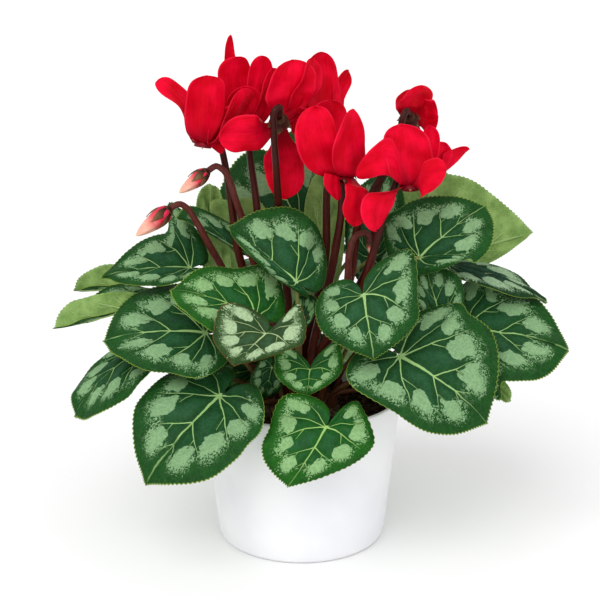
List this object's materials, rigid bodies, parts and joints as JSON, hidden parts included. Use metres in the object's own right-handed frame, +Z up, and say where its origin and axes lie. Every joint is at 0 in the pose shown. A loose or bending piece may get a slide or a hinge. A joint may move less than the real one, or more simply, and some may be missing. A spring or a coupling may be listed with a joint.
{
  "type": "potted cyclamen",
  "caption": "Potted cyclamen: red swept-back flowers and nodding buds above marbled heart-shaped leaves, in a plain round tapered white pot.",
  "frame": {"origin": "centre of the pot's base, on the surface it stands on", "axes": "+Z up, -Y toward the side seen in the picture"},
  "size_m": [0.3266, 0.206, 0.3267],
  "materials": {
    "leaf_green": "deep green leaf with silvery blotches, soft satin face",
    "leaf_underside": "pale green leaf underside, matt",
    "flower_stem": "maroon-brown flower stem, satin",
    "petal_red": "crimson petals, velvety",
    "bud_stem": "maroon-brown bud stem, satin",
    "bud_skin": "cream to crimson bud, satin",
    "pot_white": "plain white, smooth low gloss",
    "compost": "dark crumbly compost",
    "tuber_skin": "rough brown corm skin"
  },
  "bodies": {
    "root": {"leaf_01_front_left": "leaf_green", "leaf_02_front_centre": "leaf_green", "leaf_03_left": "leaf_green", "leaf_04_mid_left": "leaf_green", "leaf_05_upper_left": "leaf_green", "leaf_06_far_left": "leaf_green", "leaf_07_low_left": "leaf_green", "leaf_08_small_centre": "leaf_green", "leaf_09_upper_centre": "leaf_green", "leaf_10_centre_right": "leaf_green", "leaf_11_front_right": "leaf_green", "leaf_12_far_right": "leaf_green", "leaf_13_right_folded": "leaf_green", "leaf_14_upper_right": "leaf_green", "leaf_15_back_right": "leaf_underside", "leaf_16_back_centre": "leaf_green", "leaf_17_bud_left": "leaf_underside", "leaf_18_bud_right": "leaf_underside", "leaf_19_narrow_dark": "leaf_green", "leaf_20_small_low": "leaf_green", "leaf_21_tiny": "leaf_green", "leaf_22_dark_right": "leaf_green", "leaf_23_dark_low": "leaf_green", "leaf_24_pale_right": "leaf_underside", "leaf_27_curled_upper": "leaf_underside", "leaf_28_curled_lower": "leaf_underside", "leaf_29_inner_left": "leaf_green", "leaf_30_behind_stems": "leaf_green", "leaf_25_pale_left": "leaf_underside", "leaf_26_pale_upright": "leaf_underside", "leaf_31_back_low": "leaf_green", "leaf_32_back_low": "leaf_green", "leaf_33_back_low": "leaf_green", "leaf_34_back_low": "leaf_green", "leaf_35_back_high": "leaf_green", "leaf_36_back_high": "leaf_green", "stem_01_left": "flower_stem", "bloom_01_left": "petal_red", "stem_02_back_left": "flower_stem", "bloom_02_back_left": "petal_red", "stem_03_centre": "flower_stem", "bloom_03_centre": "petal_red", "stem_04_back_right": "flower_stem", "bloom_04_back_right": "petal_red", "stem_05_centre_right": "flower_stem", "bloom_05_centre_right": "petal_red", "stem_06_right": "flower_stem", "bloom_06_right": "petal_red", "stem_07_top_right": "flower_stem", "bloom_07_top_right": "petal_red", "stem_08_back": "flower_stem", "bloom_08_back": "petal_red", "budstem_01_low": "bud_stem", "bud_01_low": "bud_skin", "budstem_02_high": "bud_stem", "bud_02_high": "bud_skin", "budstem_03_young": "bud_stem", "pot": "pot_white", "soil": "compost", "tuber": "tuber_skin"}
  },
  "joints": []
}
